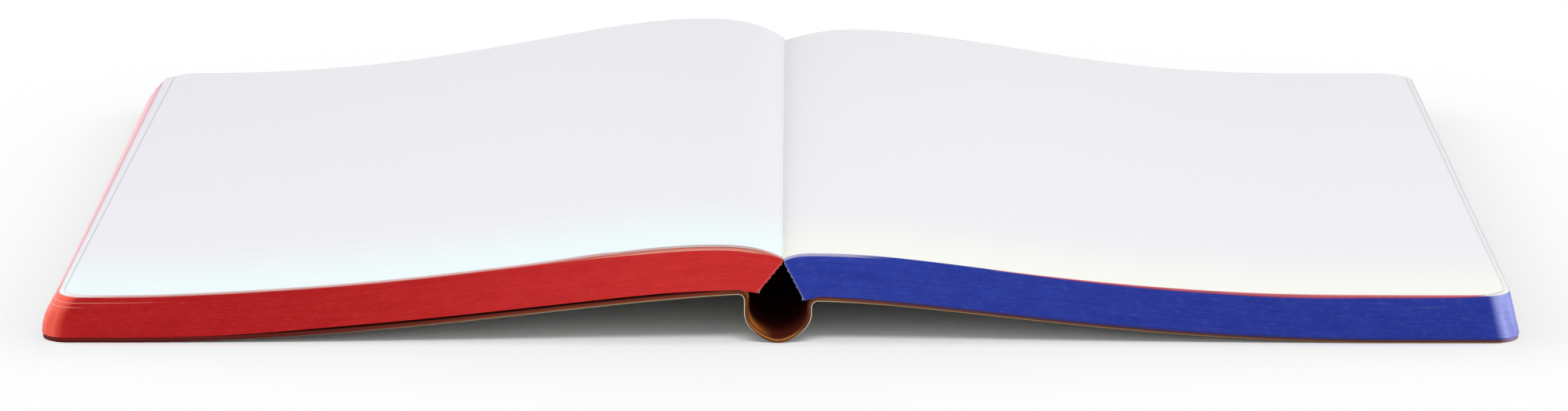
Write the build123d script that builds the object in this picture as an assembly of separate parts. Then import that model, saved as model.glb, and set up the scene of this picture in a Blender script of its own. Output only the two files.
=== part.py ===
# Soft-cover notebook lying open near its middle, leaves arched up to the gutter.
# X runs across the open book, Y from the foot edge to the head edge, Z up from the table.
# Sizes are in millimetres.
import os

from build123d import *

# Overall sizes
sheet_depth = 220.0
open_width = 337.0
gutter_offset = 0.64
cover_thick = 1.05
stack_thick = 9.65
corner_radius = 6.0

# Fits and small clearances
bed_gap = 0.2
trim_setback = 0.2
gutter_gap = 0.35
crease_gap = 0.25
lining_thick = 0.4
lining_gap = 0.2

# The cover's back hangs below the gutter as a loop, a little to the left of it.
# A round belly stands on the table, two upright legs rise from it and bend out to the covers.
# The bends take their share of the height between the belly and the lowest crease.
loop_width = 15.4
loop_shift = -1.2
belly_height = 7.0
belly_full = 3.0
belly_low = 2.6
bend_run = 1.6
bend_share = 0.61
bend_stations = 4

# The leaves end at the spine in a notch. Its lip is the upright part below the gutter.
notch_lip = 0.6

# The foot edge of the book faces -Y and its head edge faces +Y.
foot_y = -sheet_depth / 2
head_y = sheet_depth / 2
bed = cover_thick + bed_gap
page_top = bed + stack_thick
loop_left = loop_shift - loop_width / 2
loop_right = loop_shift + loop_width / 2

# Each half is drawn by its reach from the gutter, and the sign tells its side.
# The gutter lies a little to the right of the middle, so the front half reaches further.
# The lean is how far the notch's face leans in per millimetre.
# The fore-edge has this share of its slant at half height: it is straight at a half and full below that.
# The cover and the top leaf lie flat next to the fore-edge, over their flat widths.
front_half = {
    "sign": -1,
    "edge": open_width / 2 + gutter_offset,
    "lean": 0.61,
    "half_slant": 0.3,
    "cover_flat": 18.0,
    "leaf_flat": 16.0,
    "crease": bend_run - loop_left,
}
back_half = {
    "sign": 1,
    "edge": open_width / 2 - gutter_offset,
    "lean": 0.49,
    "half_slant": 0.5,
    "cover_flat": 28.0,
    "leaf_flat": 24.0,
    "crease": bend_run + loop_right,
}

# Arch of each half at the foot edge and at the head edge, where it stands higher.
# "cover" pulls the outer face of the cover up from the table, from its flat part to the crease.
# "climb" pulls the top leaf up from its flat part to the crown, and "fall" pulls it down to the gutter.
# "droop" is how far the lowest leaf hangs below the crease at the notch.
# "slant" is how far the fore-edge of the leaves leans in from the lowest leaf to the top one.
front_arch = {
    foot_y: {
        "cover": (0, 0, 1.87, 5.24, 9.66, 11.33),
        "droop": 0.7,
        "slant": 4.1,
        "crown": 15.5,
        "climb": (0, 0, 3.4, 2.85, 12.2, 12.2),
        "fall": (12.2, 12.2, 11.9, 9.35),
    },
    head_y: {
        "cover": (0, 0, 3.47, 5.45, 19.1, 13.6),
        "droop": 1.2,
        "slant": 5.6,
        "crown": 21.5,
        "climb": (0, 0, 2.1, 5.75, 14.8, 14.8),
        "fall": (14.8, 14.8, 14.4, 9.55),
    },
}
back_arch = {
    foot_y: {
        "cover": (0, 0, 1.79, 3.75, 9.1, 9.75),
        "droop": 0.85,
        "slant": 2.5,
        "crown": 7.5,
        "climb": (0, 0, 1.8, 2.15, 10.2, 10.2),
        "fall": (10.2, 10.2, 10.25, 8.95),
    },
    head_y: {
        "cover": (0, 0, 0.75, 6.1, 13.6, 11.45),
        "droop": 1.0,
        "slant": 2.7,
        "crown": 17.0,
        "climb": (0, 0, 0.05, 4.9, 11.85, 11.85),
        "fall": (11.85, 11.85, 10.8, 9.0),
    },
}


def swept_curve(side, start, end, base, rises):
    """Smooth curve between two reaches, pulled by evenly spaced heights over a base."""
    spacing = (end - start) / (len(rises) - 1)
    return Bezier(*[(side * (start + spacing * i), base + rise) for i, rise in enumerate(rises)])


def notch_ends(half, arch):
    """Lower and upper end of the notch's face, where the leaves stop at the spine."""
    side = half["sign"]
    nape = (side * (gutter_gap + half["lean"] * stack_thick), bed + arch["cover"][-1] - arch["droop"])
    fold = (side * gutter_gap, page_top + arch["fall"][-1] - notch_lip)
    return nape, fold


def cover_curve(half, arch, base):
    """Curve of a cover from its flat part to its crease, over a base height."""
    return swept_curve(half["sign"], half["edge"] - half["cover_flat"], half["crease"], base, arch["cover"])


def cover_section(half, arch):
    """Outline of one cover across the book."""
    edge = half["sign"] * half["edge"]
    outer = cover_curve(half, arch, 0)
    inner = cover_curve(half, arch, cover_thick)
    return make_face([
        Line((edge, 0), outer @ 0),
        outer,
        Line(outer @ 1, inner @ 1),
        inner,
        Line(inner @ 0, (edge, cover_thick)),
        Line((edge, cover_thick), (edge, 0)),
    ])


def page_section(half, arch):
    """Outline of the leaves of one half across the book, before their fore-edge is trimmed."""
    side = half["sign"]
    low_edge = (side * half["edge"], bed)
    high_edge = (side * half["edge"], page_top)
    below = cover_curve(half, arch, bed)
    nape, fold = notch_ends(half, arch)
    fall = swept_curve(side, arch["crown"], gutter_gap, page_top, arch["fall"])
    climb = swept_curve(side, half["edge"] - half["leaf_flat"], arch["crown"], page_top, arch["climb"])
    return make_face([
        Line(low_edge, below @ 0),
        below,
        Line(below @ 1, nape),
        Line(nape, fold),
        Line(fold, fall @ 1),
        fall,
        climb,
        Line(climb @ 0, high_edge),
        Line(high_edge, low_edge),
    ])


def bend_points(half, arch):
    """Upper end of the loop's bend beside a crease, and the bend's corner above the leg."""
    side = half["sign"]
    spacing = (half["edge"] - half["cover_flat"] - half["crease"]) / (len(arch["cover"]) - 1)
    slope = (arch["cover"][-1] - arch["cover"][-2]) / spacing
    end = (side * (half["crease"] - crease_gap), arch["cover"][-1])
    corner = (side * (half["crease"] - bend_run), arch["cover"][-1] + slope * bend_run)
    return end, corner


def inward(curve, station):
    """Point one cover thickness to the left of a curve."""
    return curve @ station + (curve % station).rotate(Axis.Z, 90) * cover_thick


def loop_section(y):
    """Outline of the hanging loop across the book, thickened towards its inside."""
    left_end, left_corner = bend_points(front_half, front_arch[y])
    right_end, right_corner = bend_points(back_half, back_arch[y])
    left_leg = (loop_left, left_corner[1] - bend_drop)
    right_leg = (loop_right, right_corner[1] - bend_drop)
    left_belly = (loop_left, belly_height)
    right_belly = (loop_right, belly_height)
    bottom = (loop_shift, 0)
    outer = [
        Bezier(left_end, left_corner, left_leg),
        Line(left_leg, left_belly),
        Bezier(left_belly, (loop_left, belly_full), (loop_shift - belly_low, 0), bottom),
        Bezier(bottom, (loop_shift + belly_low, 0), (loop_right, belly_full), right_belly),
        Line(right_belly, right_leg),
        Bezier(right_leg, right_corner, right_end),
    ]
    inner = []
    for piece in outer:
        steps = 1 if isinstance(piece, Line) else bend_stations
        inner.append(Spline(*[inward(piece, step / steps) for step in range(steps + 1)]))
    ends = [Line(outer[0] @ 0, inner[0] @ 0), Line(outer[-1] @ 1, inner[-1] @ 1)]
    return make_face([*outer, *inner, *ends])


def lining_section(y):
    """Outline of the lining strip that lies under both faces of the notch."""
    left_nape, left_fold = notch_ends(front_half, front_arch[y])
    right_nape, right_fold = notch_ends(back_half, back_arch[y])
    peak = (0, min(left_fold[1], right_fold[1]) - lining_gap)
    left_foot = (left_nape[0] + lining_gap, left_nape[1])
    right_foot = (right_nape[0] - lining_gap, right_nape[1])
    return make_face(offset(Polyline(left_foot, peak, right_foot), lining_thick, side=Side.RIGHT))


def between_ends(section):
    """Solid drawn from the foot edge's outline to the head edge's outline."""
    return loft([Plane.XZ.offset(-y) * section(y) for y in (foot_y, head_y)], ruled=True)


def rounded_cover(half, arches):
    """Cover of one half with its two corners at the fore-edge rounded."""
    cover = between_ends(lambda y: cover_section(half, arches[y]))
    upright = cover.edges().filter_by(Axis.Z)
    outermost = upright.sort_by(lambda edge: half["sign"] * edge.center().X)[-2:]
    return fillet(outermost, corner_radius)


def trim_outline(half, arches, share):
    """Outline of a leaf from above, its fore-edge set in by a share of the slant."""
    side = half["sign"]
    reach = half["edge"] - trim_setback
    foot_corner = (side * (reach - share * arches[foot_y]["slant"]), foot_y)
    head_corner = (side * (reach - share * arches[head_y]["slant"]), head_y)
    leaf = make_face(Polyline((0, foot_y), foot_corner, head_corner, (0, head_y), close=True))
    outermost = leaf.vertices().sort_by(lambda corner: side * corner.X)[-2:]
    return fillet(outermost, corner_radius - trim_setback)


def trimmed_leaves(half, arches):
    """Leaves of one half, trimmed to their slanting fore-edge and round corners."""
    above = page_top + bed + max(arch["climb"][-1] for arch in arches.values())
    middle = (bed + page_top) / 2
    levels = ((0, 0), (bed, 0), (middle, half["half_slant"]), (page_top, 1), (above, 1))
    outlines = [Plane.XY.offset(height) * trim_outline(half, arches, share) for height, share in levels]
    return between_ends(lambda y: page_section(half, arches[y])) & loft(outlines, ruled=True)


halves = ((front_half, front_arch), (back_half, back_arch))
lowest_corner = min(bend_points(half, arch[y])[1][1] for half, arch in halves for y in (foot_y, head_y))
bend_drop = bend_share * (lowest_corner - belly_height)

parts = {
    "front_cover": rounded_cover(front_half, front_arch),
    "back_cover": rounded_cover(back_half, back_arch),
    "front_pages": trimmed_leaves(front_half, front_arch),
    "back_pages": trimmed_leaves(back_half, back_arch),
    "spine": between_ends(loop_section),
    "spine_lining": between_ends(lining_section),
}

# The frame's origin is below the middle of the open book.
os.makedirs("parts", exist_ok=True)
for name, drawn in parts.items():
    solid = Pos(gutter_offset, 0, 0) * drawn
    solid.label = name
    export_step(solid, "parts/" + name + ".step")
    box = solid.bounding_box()
    print(name, round(solid.volume, 1), box.min, box.max)
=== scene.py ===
import bpy
import math
import numpy as np
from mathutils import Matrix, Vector


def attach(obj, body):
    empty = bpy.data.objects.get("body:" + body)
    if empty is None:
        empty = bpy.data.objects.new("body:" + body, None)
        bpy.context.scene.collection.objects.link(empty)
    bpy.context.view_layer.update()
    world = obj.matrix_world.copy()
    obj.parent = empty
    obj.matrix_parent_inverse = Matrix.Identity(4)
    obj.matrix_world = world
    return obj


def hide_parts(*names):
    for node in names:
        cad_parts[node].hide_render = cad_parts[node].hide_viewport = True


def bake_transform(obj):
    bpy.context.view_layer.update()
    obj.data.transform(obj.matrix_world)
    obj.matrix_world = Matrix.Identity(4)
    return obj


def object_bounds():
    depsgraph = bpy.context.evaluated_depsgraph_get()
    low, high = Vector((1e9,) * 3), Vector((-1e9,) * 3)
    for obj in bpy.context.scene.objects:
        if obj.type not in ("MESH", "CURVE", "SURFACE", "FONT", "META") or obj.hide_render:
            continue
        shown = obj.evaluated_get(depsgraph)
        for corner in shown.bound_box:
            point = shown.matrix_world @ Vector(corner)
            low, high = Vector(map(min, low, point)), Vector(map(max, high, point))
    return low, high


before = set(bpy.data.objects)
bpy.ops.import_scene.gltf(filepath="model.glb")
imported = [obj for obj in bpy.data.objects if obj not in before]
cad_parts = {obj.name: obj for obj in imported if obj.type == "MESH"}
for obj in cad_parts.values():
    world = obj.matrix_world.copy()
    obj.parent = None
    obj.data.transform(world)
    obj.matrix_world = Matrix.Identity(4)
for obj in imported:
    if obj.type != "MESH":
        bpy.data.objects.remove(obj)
cadBox = [list(corner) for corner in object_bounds()]  # the solids' box, before anything is added
scene = bpy.context.scene
scene.view_settings.view_transform = "Standard"
mm = 0.001
colourA, colourB = 6, 7  # colour sockets of a Mix node
wavePeriod = math.pi / 10  # of a Wave node at scale 1
chance = np.random.default_rng(23)  # seeded, so each run draws the same leaves

book = {  # mm, as the solids are drawn
    "depth": 220.0,
    "gutter": 0.64,  # the gutter lies this far right of the middle
    "coverThick": 1.05,
    "bed": 1.25,  # underside of the leaves, over the table
    "stack": 9.65,
    "trim": 0.03,  # leaves stand back from the model's side
    "coverTrim": 0.25,  # the cover's cut edge stands back a little more
    "slit": 0.15,  # half of the gap between the halves at the gutter
    "lip": 0.6,  # upright part of the notch below the gutter
    "corner": 6.0,
}

frontHalf = {  # red half, pulls of its curves at the foot and the head edge
    "side": -1,
    "edge": 169.14,  # reach of the cover from the gutter
    "fullness": 1.75,  # 1 is a straight fore-edge, more bulges out
    "swell": 0.6,  # added to the fullness at the foot corner
    "riseRun": (46.0, 75.0),  # mm from the gutter, from there the stack is a little thicker at the foot
    "lean": 0.61,
    "coverFlat": 18.0,
    "leafFlat": 16.0,
    "crease": 10.5,
    "ends": (
        {
            "cover": (0, 0, 1.87, 5.24, 9.66, 11.33),
            "droop": 0.7,
            "slant": 4.1,
            "rise": 0.26,
            "crown": 15.5,
            "climb": (0, 0, 3.4, 2.85, 12.2, 12.2),
            "fall": (12.2, 12.2, 11.9, 9.35),
        },
        {
            "cover": (0, 0, 3.47, 5.45, 19.1, 13.6),
            "droop": 1.2,
            "slant": 5.6,
            "rise": 0.0,
            "crown": 21.5,
            "climb": (0, 0, 2.1, 5.75, 14.8, 14.8),
            "fall": (14.8, 14.8, 14.4, 9.55),
        },
    ),
}

backHalf = {  # blue half
    "side": 1,
    "edge": 167.86,
    "fullness": 1.0,
    "swell": 0.0,
    "riseRun": (104.0, 140.0),
    "lean": 0.49,
    "coverFlat": 28.0,
    "leafFlat": 24.0,
    "crease": 8.1,
    "ends": (
        {
            "cover": (0, 0, 1.79, 3.75, 9.1, 9.75),
            "droop": 0.85,
            "slant": 2.5,
            "rise": 0.5,
            "crown": 7.5,
            "climb": (0, 0, 1.8, 2.15, 10.2, 10.2),
            "fall": (10.2, 10.2, 10.25, 8.95),
        },
        {
            "cover": (0, 0, 0.75, 6.1, 13.6, 11.45),
            "droop": 1.0,
            "slant": 2.7,
            "rise": 0.0,
            "crown": 17.0,
            "climb": (0, 0, 0.05, 4.9, 11.85, 11.85),
            "fall": (11.85, 11.85, 10.8, 9.0),
        },
    ),
}

pageTop = book["bed"] + book["stack"]
footY = -book["depth"] / 2
leafRadius = book["corner"] - book["trim"]


def srgb(code, alpha=1.0):  # hex colour to linear light
    channels = [int(code[i:i + 2], 16) / 255 for i in (1, 3, 5)]
    return [c / 12.92 if c < 0.04045 else ((c + 0.055) / 1.055) ** 2.4 for c in channels] + [alpha]


def addNode(tree, kind, inputs=None, **settings):  # an input that is a node or a socket is linked, others are set
    node = tree.nodes.new("ShaderNode" + kind)
    for key, value in settings.items():
        setattr(node, key, value)
    for key, value in (inputs or {}).items():
        if isinstance(value, bpy.types.Node):
            value = next(socket for socket in value.outputs if socket.enabled)
        if isinstance(value, bpy.types.NodeSocket):
            tree.links.new(value, node.inputs[key])
        else:
            node.inputs[key].default_value = value
    return node


def newMaterial(name):
    material = bpy.data.materials.new(name)
    material.use_nodes = True
    material.node_tree.nodes.clear()
    return material, material.node_tree


def finishSurface(tree, look, colour, height, shine=None, sunk=False):  # relief, shader and output of a surface
    relief = addNode(
        tree, "Bump", {"Height": height, "Strength": look["bump"], "Distance": look["relief"] * mm}, invert=sunk,
    )
    shader = addNode(tree, "BsdfPrincipled", {
        "Base Color": colour, "Normal": relief, "Roughness": look["roughness"], "IOR": look["ior"],
        "Specular IOR Level": shine or look["shine"],
    })
    addNode(tree, "OutputMaterial", {"Surface": shader})


def smoothStep(low, high, x):
    t = np.clip((x - low) / (high - low), 0, 1)
    return t * t * (3 - 2 * t)


def curveHeight(pulls, s):  # curve with evenly spaced pulls, s runs along its reach
    n = len(pulls) - 1
    return sum(math.comb(n, i) * s**i * (1 - s)**(n - i) * pull for i, pull in enumerate(pulls))


def coverRise(half, end, reach):  # outer face of a cover over the table
    start = half["edge"] - half["coverFlat"]
    s = np.clip((start - reach) / (start - half["crease"]), 0, 1)
    return curveHeight(end["cover"], s)


def napeReach(half):
    return book["slit"] + half["lean"] * book["stack"]


def underside(half, end, reach):  # lowest leaf, which droops from the crease to the notch
    crease, nape = half["crease"], napeReach(half)
    droop = end["droop"] * np.clip((crease - reach) / (crease - nape), 0, 1)
    return book["bed"] + coverRise(half, end, reach) - droop


def latticeShell(name, points, sides, materials, smooth, fields):
    # skin of a block of points (u, v, t), its six sides are u0 u1 v0 v1 t0 t1
    nu, nv, nt = points.shape[:3]
    onSkin = np.zeros((nu, nv, nt), bool)
    onSkin[[0, -1]] = True
    onSkin[:, [0, -1]] = True
    onSkin[:, :, [0, -1]] = True
    index = np.full((nu, nv, nt), -1)
    index[onSkin] = np.arange(onSkin.sum())
    du = points[-1, 0, 0] - points[0, 0, 0]
    dv = points[0, -1, 0] - points[0, 0, 0]
    dt = points[nu // 2, 0, -1] - points[nu // 2, 0, 0]
    leftHanded = np.dot(np.cross(du, dv), dt) < 0
    faces, slots, flags, borders = [], [], [], []
    grids = (
        index[0].T, index[-1], index[:, 0], index[:, -1].T, index[:, :, 0].T, index[:, :, -1],
    )
    for grid, slot, flag in zip(grids, sides, smooth):
        quads = np.stack([grid[:-1, :-1], grid[1:, :-1], grid[1:, 1:], grid[:-1, 1:]], -1).reshape(-1, 4)
        faces.append(quads[:, ::-1] if leftHanded else quads)
        slots.append(np.broadcast_to(slot, (grid.shape[0] - 1, grid.shape[1] - 1)).ravel())
        flags.append(np.full(len(quads), flag))
        for line in (grid[0], grid[-1], grid[:, 0], grid[:, -1]):
            borders.append(np.sort(np.stack([line[:-1], line[1:]], -1), axis=1))
    mesh = bpy.data.meshes.new(name)
    placed = (points[onSkin] + np.array((book["gutter"], 0, 0))) * mm
    mesh.from_pydata(placed.tolist(), [], np.concatenate(faces).tolist())
    mesh.polygons.foreach_set("material_index", np.concatenate(slots).astype(np.int32))
    mesh.polygons.foreach_set("use_smooth", np.concatenate(flags).astype(bool))
    ends = np.empty(2 * len(mesh.edges), np.int32)
    mesh.edges.foreach_get("vertices", ends)
    ends = np.sort(ends.reshape(-1, 2), axis=1)
    rims = np.concatenate(borders)
    count = len(mesh.vertices)
    creased = np.isin(ends[:, 0] * count + ends[:, 1], rims[:, 0] * count + rims[:, 1])
    mesh.attributes.new("sharp_edge", "BOOLEAN", "EDGE").data.foreach_set("value", creased)
    for key, value in fields.items():
        flat = np.broadcast_to(value, (nu, nv, nt))[onSkin].astype(np.float32)
        mesh.attributes.new(key, "FLOAT", "POINT").data.foreach_set("value", flat)
    restSpot = mesh.attributes.new("restSpot", "FLOAT_VECTOR", "POINT")  # place in the open book
    restSpot.data.foreach_set("vector", placed.astype(np.float32).ravel())
    for material in materials:
        mesh.materials.append(material)
    mesh.update()
    piece = bpy.data.objects.new(name, mesh)
    scene.collection.objects.link(piece)
    return piece


# Paper, uncoated and lightly calendered: nearly white, dull, faint fibres; paler and tinted near the foot edge as
# painted light, and a grey line along the leaf's edges as painted shade
def makePaper(name, look):
    material, tree = newMaterial(name)
    spot = addNode(tree, "Attribute", attribute_name="restSpot").outputs["Vector"]
    fibre = addNode(tree, "TexNoise", {
        "Vector": spot, "Scale": 1 / (look["fibre"] * mm), "Detail": look["fibreDetail"],
        "Roughness": look["fibreRough"],
    })
    sheet = addNode(
        tree, "Mix", {0: fibre, colourA: srgb(look["shade"]), colourB: srgb(look["light"])}, data_type="RGBA",
    )
    split = addNode(tree, "SeparateXYZ", {"Vector": spot})
    # painted light: towards the foot edge the sheet turns paler, cool on the red half and warm on the blue half
    near = addNode(
        tree, "MapRange",
        {"Value": split.outputs["Y"], "From Min": (footY + look["footLightDepth"]) * mm, "From Max": footY * mm},
        interpolation_type="SMOOTHSTEP",
    )
    footLit = addNode(tree, "Mix", {0: near, colourA: sheet, colourB: srgb(look["footLight"])}, data_type="RGBA")
    # painted shade: a grey line along the fore-edge, the head edge and the foot corner, where the leaf's step casts
    # shade
    rim = addNode(tree, "Attribute", attribute_name="rim").outputs["Fac"]
    rimShaded = addNode(tree, "Mix", {0: rim, colourA: footLit, colourB: srgb(look["rim"])}, data_type="RGBA")
    finishSurface(tree, look, rimShaded, fibre)
    return material


# Leaf edges, cut, sprayed with dye and burnished: streaks along the leaves and a soft shine at corners; the corners'
# paler, banded colours are painted highlights and the paler side past them is a painted reflection
def makeDyedEdge(name, look):
    material, tree = newMaterial(name)
    along, level, wornAndLit, first, tone, turned = [
        addNode(tree, "Attribute", attribute_name=field).outputs["Fac"]
        for field in ("along", "level", "wornAndLit", "first", "tone", "turned")
    ]
    spot = addNode(tree, "CombineXYZ", {"X": along, "Z": level})
    noise = {}
    for pattern in ("streak", "patch", "band", "speck"):
        length, width, detail, rough = look[pattern]
        stretched = addNode(tree, "VectorMath", {0: spot, 1: (1 / length, 1, 1 / width)}, operation="MULTIPLY")
        noise[pattern] = addNode(
            tree, "TexNoise", {"Vector": stretched, "Scale": 1.0, "Detail": detail, "Roughness": rough},
        )
    strength = addNode(tree, "Math", {0: noise["streak"], 1: noise["patch"]}, operation="MULTIPLY")
    # banding of the painted highlight on the corners
    highlightPattern = addNode(
        tree, "Math", {0: noise["streak"], 1: look["streakShare"], 2: noise["band"]}, operation="MULTIPLY_ADD",
    )
    ramps = {}
    for ramp, value, (low, high), most, way in (
        ("blot", strength, look["blotRange"], 1.0, "LINEAR"),
        ("highlightBands", highlightPattern, look["highlightBandRange"], 1.0, "LINEAR"),
        ("scuff", noise["speck"], look["scuffRange"], look["scuff"], "LINEAR"),
        ("inner", along, look["gutterRun"], 1.0, "SMOOTHSTEP"),
        ("onCorner", turned, look["cornerRun"], 1.0, "SMOOTHSTEP"),
        ("pastCorner", turned, (look["endFrom"], 1.0), look["cornerEnd"], "SMOOTHSTEP"),
        ("onFore", along, look["foreRun"], 1.0, "SMOOTHSTEP"),
        ("nearLow", level, (look["lowRim"], 0.0), 1.0, "SMOOTHSTEP"),
        ("nearTop", level, (book["stack"] - look["topRim"], book["stack"]), 1.0, "SMOOTHSTEP"),
    ):
        ramps[ramp] = addNode(
            tree, "MapRange", {"Value": value, "From Min": low, "From Max": high, "To Max": most},
            interpolation_type=way,
        )
    dyesAndLight = {}
    # the corner colours are painted highlights and the side colours a painted reflection; the others are dye
    for zone, share in (
        ("main", ramps["blot"]), ("gutter", ramps["blot"]), ("first", tone), ("corner", ramps["highlightBands"]),
        ("fore", ramps["blot"]),
    ):
        one, other = look[zone]
        dyesAndLight[zone] = addNode(tree, "Mix", {0: share, colourA: srgb(one), colourB: srgb(other)}, data_type="RGBA")
    nearRim = addNode(tree, "Math", {0: ramps["nearLow"], 1: ramps["nearTop"]}, operation="MAXIMUM")
    onSide = addNode(tree, "Math", {0: ramps["onFore"], 1: ramps["pastCorner"]}, operation="MAXIMUM")
    rimmed = addNode(
        tree, "Mix", {0: nearRim, colourA: dyesAndLight["fore"], colourB: srgb(look["foreRim"])}, data_type="RGBA",
    )
    bareAndHighlight = srgb(look["bareAndHighlight"])
    colour = dyesAndLight["main"]
    for share, over in (
        (ramps["inner"], dyesAndLight["gutter"]), (first, dyesAndLight["first"]), (ramps["onCorner"], dyesAndLight["corner"]),
        (onSide, rimmed), (wornAndLit, bareAndHighlight), (ramps["scuff"], bareAndHighlight),
    ):
        colour = addNode(tree, "Mix", {0: share, colourA: colour, colourB: over}, data_type="RGBA")
    burnish = addNode(
        tree, "MapRange", {"Value": ramps["onCorner"], "To Min": look["shine"], "To Max": look["cornerShine"]},
    )
    finishSurface(tree, look, colour, noise["streak"], shine=burnish)
    return material


# Bonded leather, rolled with a fine pebble grain: dull skin with a low sheen, lighter in a band near the ends, as
# wear on the outer skin and as painted light near the loop's mouth on its back
def makeCoverSkin(name, look):
    material, tree = newMaterial(name)
    spot = addNode(tree, "Attribute", attribute_name="restSpot").outputs["Vector"]
    pebble = addNode(
        tree, "TexVoronoi", {"Vector": spot, "Scale": 1 / (look["pebble"] * mm), "Randomness": look["pebbleMix"]},
        feature="SMOOTH_F1",
    )
    cloud = addNode(tree, "TexNoise", {
        "Vector": spot, "Scale": 1 / (look["cloud"] * mm), "Detail": look["cloudDetail"],
        "Roughness": look["cloudRough"],
    })
    pitLow, pitHigh = look["pitRange"]
    pit = addNode(
        tree, "MapRange", {"Value": pebble, "From Min": pitLow, "From Max": pitHigh, "To Max": look["pitShare"]},
    )
    split = addNode(tree, "SeparateXYZ", {"Vector": spot})
    side = addNode(tree, "Math", {0: split.outputs["Y"]}, operation="ABSOLUTE")
    end = addNode(
        tree, "MapRange", {
            "Value": side, "From Min": (-footY - look["wearAndLightDepth"]) * mm, "From Max": -footY * mm,
            "To Max": look["wearAndLightShare"],
        }, interpolation_type="SMOOTHSTEP",
    )
    aside = addNode(tree, "Math", {0: split.outputs["X"], 1: look["wearAndLightMid"] * mm}, operation="SUBTRACT")
    width = addNode(tree, "Math", {0: aside}, operation="ABSOLUTE")
    wearAndLightReach = look["wearAndLightReach"]
    middle = addNode(
        tree, "MapRange",
        {"Value": width, "From Min": (wearAndLightReach + look["wearAndLightFade"]) * mm, "From Max": wearAndLightReach * mm},
    )
    # lighter band near the ends: wear on the outer skin, a painted pool of light at the loop's mouth on the back
    wearAndLightShare = addNode(tree, "Math", {0: end, 1: middle}, operation="MULTIPLY")
    colour = addNode(
        tree, "Mix", {0: cloud, colourA: srgb(look["dark"]), colourB: srgb(look["light"])}, data_type="RGBA",
    )
    for share, over in ((pit, "pit"), (wearAndLightShare, "wornAndLit")):
        colour = addNode(tree, "Mix", {0: share, colourA: colour, colourB: srgb(look[over])}, data_type="RGBA")
    finishSurface(tree, look, colour, pebble, sunk=True)
    return material


# Cut edge of the cover: pale coating outside, dark glue line, fibre core; along the book they are painted lighter,
# orange and cream, at the loop where light gets in, and darker, maroon, brown and blue-grey, under the leaves, as
# painted light and shade, and paler at the right end
def makeCoverCut(name, look):
    material, tree = newMaterial(name)
    spot = addNode(tree, "Attribute", attribute_name="restSpot").outputs["Vector"]
    split = addNode(tree, "SeparateXYZ", {"Vector": spot})
    reach = look["reach"]
    across = addNode(
        tree, "MapRange", {"Value": split.outputs["X"], "From Min": -reach * mm, "From Max": reach * mm},
    )
    plies = {}
    for layer in ("coat", "glue", "core", "lining", "fleck"):
        stops = look[layer]
        plies[layer] = addNode(tree, "ValToRGB", {"Fac": across})
        elements = plies[layer].color_ramp.elements
        while len(elements) < len(stops):
            elements.new(0.5)
        for element, (x, code) in zip(elements, stops):
            element.position = (x + reach) / (2 * reach)
            element.color = srgb(code)
    ply = addNode(tree, "Attribute", attribute_name="ply").outputs["Fac"]
    fibre = addNode(
        tree, "TexNoise", {"Vector": spot, "Scale": 1 / (look["fibre"] * mm), "Detail": look["fibreDetail"]},
    )
    wander = addNode(tree, "Math", {0: fibre, 1: look["wander"], 2: ply}, operation="MULTIPLY_ADD")
    above = {}
    for layer, (top, soft) in look["tops"].items():
        above[layer] = addNode(tree, "MapRange", {"Value": wander, "From Min": top - soft, "From Max": top + soft})
    fleckLow, fleckHigh = look["fleckRange"]
    speck = addNode(
        tree, "MapRange",
        {"Value": fibre, "From Min": fleckLow, "From Max": fleckHigh, "To Max": look["fleckShare"]},
    )
    body = addNode(
        tree, "Mix", {0: above["core"], colourA: plies["core"], colourB: plies["lining"]}, data_type="RGBA",
    )
    colour = addNode(tree, "Mix", {0: speck, colourA: body, colourB: plies["fleck"]}, data_type="RGBA")
    for layer in ("glue", "coat"):
        colour = addNode(tree, "Mix", {0: above[layer], colourA: plies[layer], colourB: colour}, data_type="RGBA")
    finishSurface(tree, look, colour, fibre)
    return material


# Open-weave lining soaked in glue: pale crossing threads under a waxy film
def makeLining(name, look):
    material, tree = newMaterial(name)
    spot = addNode(tree, "Attribute", attribute_name="restSpot").outputs["Vector"]
    split = addNode(tree, "SeparateXYZ", {"Vector": spot})
    warp, weft = [
        addNode(
            tree, "TexWave",
            {"Vector": spot, "Scale": wavePeriod / (look["thread"] * mm), "Distortion": look["waver"]},
            bands_direction=direction,
        ).outputs["Fac"]
        for direction in ("Y", "Z")
    ]
    weave = addNode(tree, "Math", {0: warp, 1: weft}, operation="MAXIMUM")
    halfSide = addNode(
        tree, "MapRange",
        {"Value": split.outputs["X"], "From Min": -look["turn"] * mm, "From Max": look["turn"] * mm},
    )
    thread = addNode(
        tree, "Mix", {0: halfSide, colourA: srgb(look["left"]), colourB: srgb(look["right"])}, data_type="RGBA",
    )
    soaked = addNode(tree, "Mix", {0: weave, colourA: srgb(look["glue"]), colourB: thread}, data_type="RGBA")
    finishSurface(tree, look, soaked, weave)
    return material


paper = {
    "fibre": 0.7, "fibreDetail": 3, "fibreRough": 0.6,  # mm, a clump of fibres, coarse enough to show
    "bump": 0.15, "relief": 0.02, "roughness": 0.8, "ior": 1.5, "shine": 0.2,
}
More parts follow.
